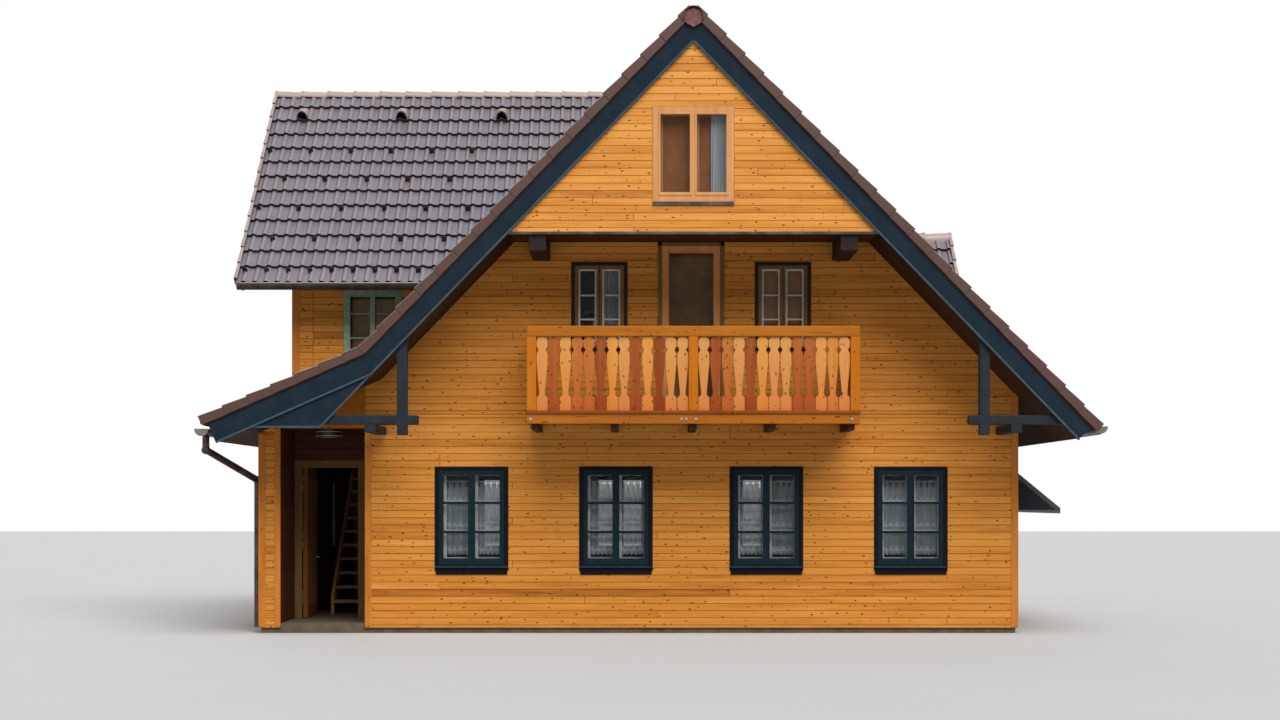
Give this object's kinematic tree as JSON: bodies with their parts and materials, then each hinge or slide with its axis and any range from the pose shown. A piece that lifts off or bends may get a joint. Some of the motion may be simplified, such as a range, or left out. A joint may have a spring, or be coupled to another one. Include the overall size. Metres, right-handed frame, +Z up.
{
  "type": "alpine chalet",
  "caption": "Timber-clad alpine chalet with a steep tiled roof that flares over a porch, a crossing gabled wing, a dormer and a front balcony; the entrance door swings.",
  "frame": {"origin": "on the ground, below the main ridge and half way along it", "axes": "+X to the viewer's right along the front wall, +Y from the front into the house, +Z up; the front faces -Y"},
  "size_m": [11.619, 9.044, 8.0288],
  "materials": {
    "plinth": "dark grey plinth coating, matt",
    "wall_boards": "golden brown stained boards, satin",
    "dark_boards": "reddish brown stained boards, satin",
    "blue_boards": "dark blue-grey paint on timber, satin",
    "flashing_metal": "blue-grey coated sheet",
    "floor_boards": "planed boards, satin",
    "roof_tiles": "brown glazed clay tiles, satin gloss",
    "balcony_timber": "orange stained timber, satin",
    "balusters": "larch, alternately pale and reddish, satin",
    "window_casing": "near-black blue paint, satin",
    "window_timber": "larch, satin",
    "window_painted": "grey-green paint, satin",
    "glass": "clear window glass",
    "gutter_metal": "dark brown coated sheet",
    "canopy_sheet": "grey sheet roofing",
    "door_timber": "dark brown stained timber, satin",
    "fittings": "brushed steel",
    "lamp_cover": "opal cover"
  },
  "bodies": {
    "house": {"ground_slab": "plinth", "front_wall_ground": "wall_boards", "front_wall_upper": "dark_boards", "back_wall_ground": "wall_boards", "back_wall_upper": "dark_boards", "right_wall": "wall_boards", "left_wall": "wall_boards", "annex_wall": "wall_boards", "door_wall_side": "dark_boards", "door_wall_top": "dark_boards", "porch_ceiling": "dark_boards", "porch_lintel": "wall_boards", "first_floor": "floor_boards", "attic_floor": "floor_boards", "stair_treads": "floor_boards", "stair_strings": "floor_boards", "wing_walls": "wall_boards", "wing_gable_wall": "wall_boards", "roof_left": "roof_tiles", "roof_right": "roof_tiles", "wing_roof": "roof_tiles", "dormer_walls": "wall_boards", "dormer_roof": "roof_tiles", "ridge_caps": "roof_tiles", "gable_panels": "wall_boards", "verge_boards": "blue_boards", "flare_infill": "blue_boards", "flashings": "flashing_metal", "purlins": "dark_boards", "bracket_frames": "blue_boards", "balcony_floor": "dark_boards", "balcony_beams": "balcony_timber", "balcony_posts": "balcony_timber", "balcony_rails": "balcony_timber", "front_balusters": "balusters", "side_balusters": "balusters", "ground_window_frames": "window_casing", "upper_window_frames": "window_timber", "attic_window_frames": "window_timber", "wing_window_frames": "window_painted", "balcony_door": "window_timber", "window_glass": "glass", "gutters": "gutter_metal", "downpipe": "gutter_metal", "canopy_roof": "canopy_sheet", "canopy_brackets": "blue_boards", "entrance_frame": "door_timber", "entrance_hinges": "fittings", "porch_lamp": "lamp_cover"},
    "entrance_door": {"entrance_leaf": "door_timber", "entrance_handle": "fittings"}
  },
  "joints": [
    {"name": "entrance_door_hinge", "type": "hinge", "parent": "house", "child": "entrance_door", "pos_m": [-5.374, -2.238, 0.13], "axis": [0, 0, 1], "range_deg": [-90, 0]}
  ]
}
